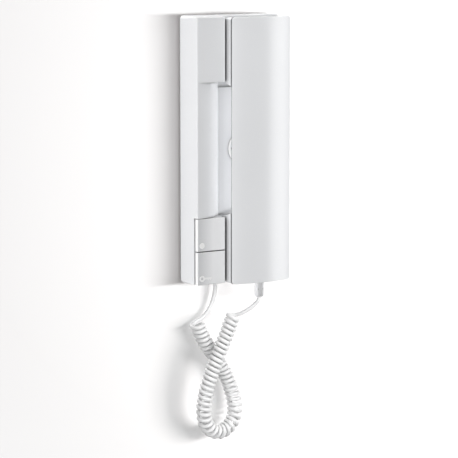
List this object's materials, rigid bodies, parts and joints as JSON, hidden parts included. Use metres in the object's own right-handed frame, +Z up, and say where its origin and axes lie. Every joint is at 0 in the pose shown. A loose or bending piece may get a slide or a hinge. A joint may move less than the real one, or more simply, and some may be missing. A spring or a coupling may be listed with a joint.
{
  "type": "wall intercom handset",
  "caption": "White wall door-phone: a base with a raised strip, push buttons and a curved finger recess, a full-height handset hung in its seats, and a curly cord from base to handset.",
  "frame": {"origin": "centre of the wall plate's rear face, midway between the two wall screws", "axes": "+Y into the wall, +Z up the wall, +X to the right as seen from the front"},
  "size_m": [0.09, 0.0394, 0.3566],
  "materials": {
    "white_plastic": "fine satin",
    "grey_plastic": "matt",
    "dark_plastic": "matt",
    "red_plastic": "matt",
    "board": "lacquered",
    "white_cord": "satin",
    "soft_rubber": "matt",
    "steel": "zinc plated",
    "contacts": "plated"
  },
  "bodies": {
    "base": {"wall_plate": "grey_plastic", "base_cover": "white_plastic", "speaker_grille": "white_plastic", "call_speaker": "dark_plastic", "circuit_board": "board", "board_screws": "steel", "terminal_block": "grey_plastic", "terminal_screws": "steel", "light_switch": "dark_plastic", "door_switch": "dark_plastic", "hook_switch": "dark_plastic", "cord_bush": "white_plastic", "cord_lead": "white_cord", "cord_connector": "grey_plastic", "cord_base_tail": "white_cord", "cord_curls": "white_cord"},
    "handset": {"handset_front": "white_plastic", "handset_back": "white_plastic", "ear_speaker": "dark_plastic", "ear_gasket": "soft_rubber", "microphone": "steel", "mic_boot": "soft_rubber", "handset_jack": "dark_plastic", "handset_plug": "white_plastic", "plug_contacts": "contacts", "handset_screws": "steel", "cord_handset_tail": "white_cord"},
    "light_key": {"light_button": "white_plastic", "light_plunger": "red_plastic"},
    "door_key": {"door_button": "white_plastic", "door_plunger": "red_plastic"},
    "hook": {"hook_plunger": "grey_plastic"}
  },
  "joints": [
    {"name": "handset_lift", "type": "slide", "parent": "base", "child": "handset", "axis": [0, -1, 0], "range_m": [0, 0.04], "deforming": ["cord_handset_tail", "cord_curls"]},
    {"name": "hook_out", "type": "slide", "parent": "base", "child": "hook", "axis": [0, -1, 0], "range_m": [0, 0.001]},
    {"name": "light_press", "type": "slide", "parent": "base", "child": "light_key", "axis": [0, 1, 0], "range_m": [0, 0.0012], "stiffness_N_per_m": 800},
    {"name": "door_press", "type": "slide", "parent": "base", "child": "door_key", "axis": [0, 1, 0], "range_m": [0, 0.0012], "stiffness_N_per_m": 800}
  ],
  "couplings": [
    {"joint": "hook_out", "follows": "handset_lift", "ratio": 0.025}
  ]
}
